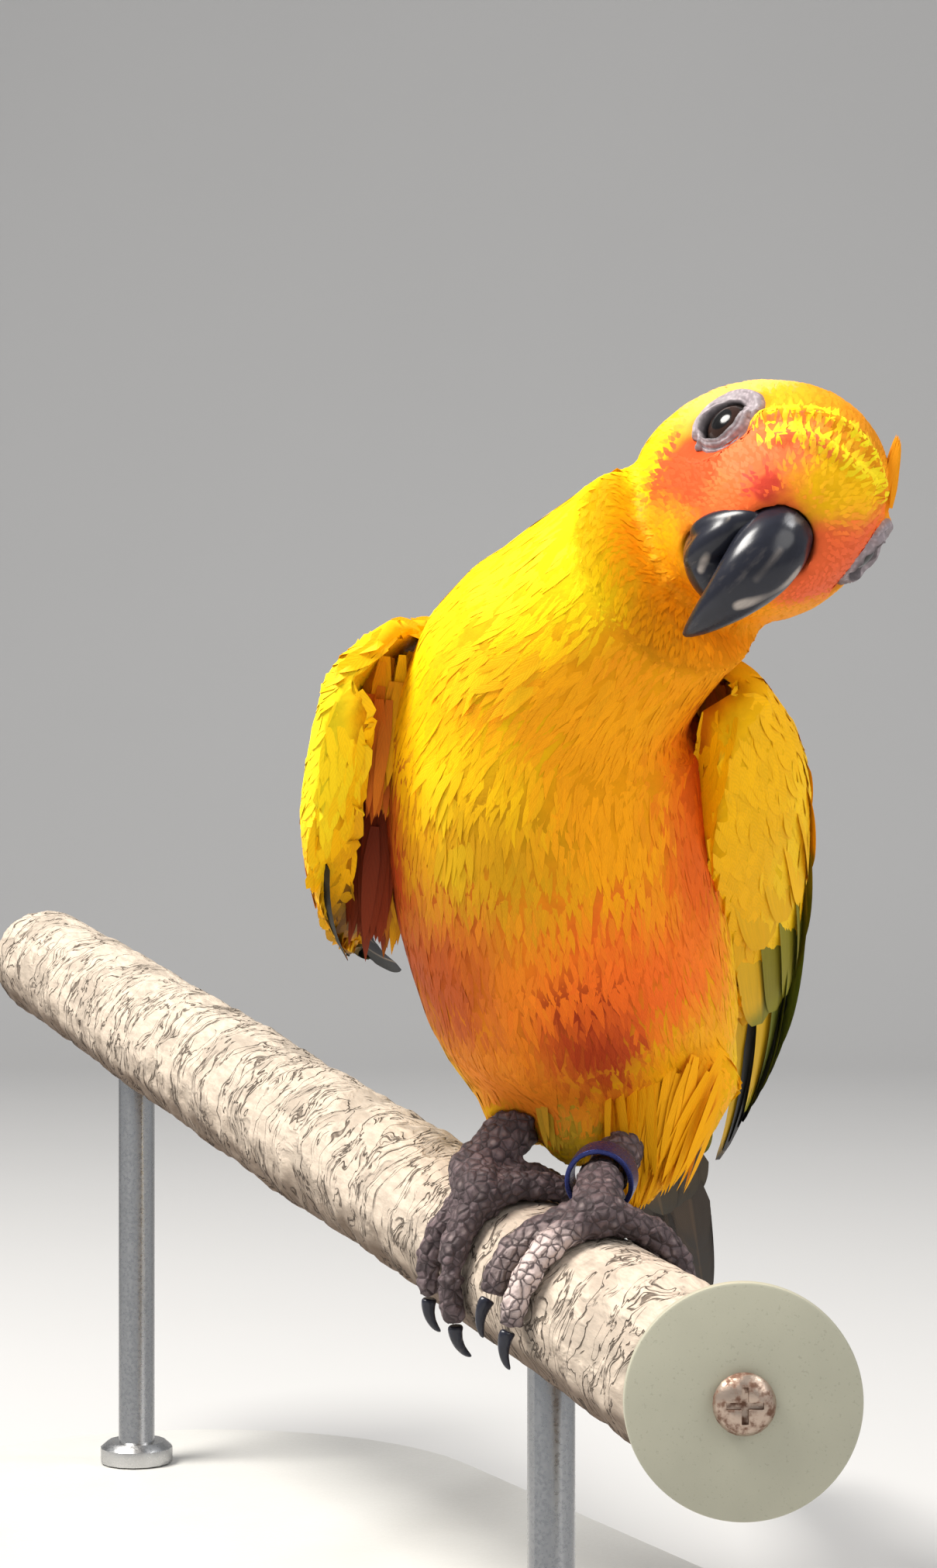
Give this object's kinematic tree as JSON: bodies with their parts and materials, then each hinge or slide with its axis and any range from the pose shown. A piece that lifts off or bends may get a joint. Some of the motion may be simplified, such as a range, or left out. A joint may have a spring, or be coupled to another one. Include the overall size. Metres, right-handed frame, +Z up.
{
  "type": "sun conure display model on perch",
  "caption": "Life-size still model of a sun conure gripping a short cut length of branch, wings held off its body and head tilted, on a flat base with rods.",
  "frame": {"origin": "on the underside of the base plate, below the bird's feet", "axes": "+Z up; the bird faces -Y with its left side towards +X, and the tail points towards +Y"},
  "size_m": [0.169, 0.2637, 0.1968],
  "materials": {
    "plumage": "soft overlapping feathers, yellow to orange, green and dark blue on the wings",
    "tail_feather": "olive-green feathers, dusky below, blue towards the tips",
    "eye": "wet dark brown with a black pupil",
    "horn": "blue-black horn with pale worn streaks",
    "claw": "dark horn, some paler",
    "scaly_skin": "grey-brown scaly skin",
    "ring_metal": "dark blue anodised band",
    "bark": "pale cracked bark, darker below",
    "washer_plastic": "sage green, slightly dusty",
    "screw_metal": "dull brownish steel",
    "stand_paint": "satin pale paint",
    "rod_metal": "brushed"
  },
  "bodies": {
    "root": {"torso": "plumage", "neck": "plumage", "head": "plumage", "wing_right": "plumage", "wing_left": "plumage", "thigh_right": "plumage", "thigh_left": "plumage", "tail": "tail_feather", "eye_right": "eye", "eye_left": "eye", "bill_upper": "horn", "bill_lower": "horn", "foot_right": "scaly_skin", "foot_left": "scaly_skin", "claw_right_1": "claw", "claw_right_2": "claw", "claw_right_3": "claw", "claw_right_4": "claw", "claw_left_1": "claw", "claw_left_2": "claw", "claw_left_3": "claw", "claw_left_4": "claw", "leg_ring": "ring_metal", "perch_branch": "bark", "perch_washer": "washer_plastic", "perch_screw": "screw_metal", "stand_base": "stand_paint", "stand_rod_front": "rod_metal", "stand_rod_rear": "rod_metal"}
  },
  "joints": []
}
